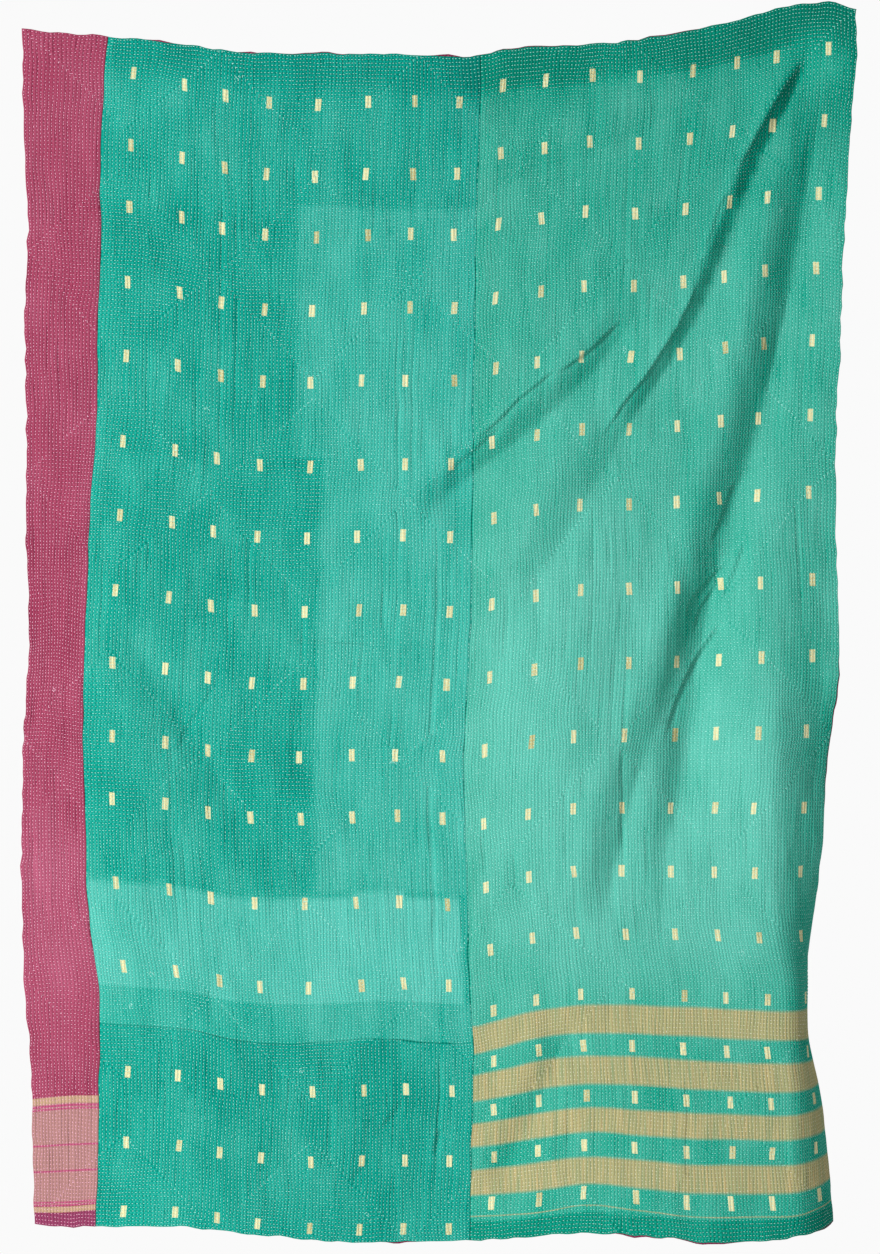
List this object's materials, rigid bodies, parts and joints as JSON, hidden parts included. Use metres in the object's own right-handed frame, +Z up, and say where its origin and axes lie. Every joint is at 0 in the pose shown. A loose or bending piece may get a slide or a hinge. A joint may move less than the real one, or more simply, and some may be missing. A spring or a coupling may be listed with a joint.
{
  "type": "kantha quilt",
  "caption": "Running-stitched kantha throw of old sari cotton: a side strip and green panels on a backing cloth, hanging in soft folds from its top corners.",
  "frame": {"origin": "on the top edge, half way between the top corners, on the face of the cloth", "axes": "+X to the right across the width, +Z up, and the face looks along -Y"},
  "size_m": [1.487, 0.093, 2.2064],
  "materials": {
    "raspberry_cotton": "hand-quilted matt cotton",
    "green_cotton": "hand-quilted matt cotton with woven motifs",
    "deep_green_cotton": "hand-quilted matt cotton with woven motifs",
    "striped_green_cotton": "hand-quilted matt cotton with woven stripes",
    "maroon_cotton": "hand-quilted matt cotton"
  },
  "bodies": {
    "root": {"side_strip": "raspberry_cotton", "left_panel": "green_cotton", "lower_left_patch": "deep_green_cotton", "right_panel": "striped_green_cotton", "back_cloth": "maroon_cotton"}
  },
  "joints": []
}
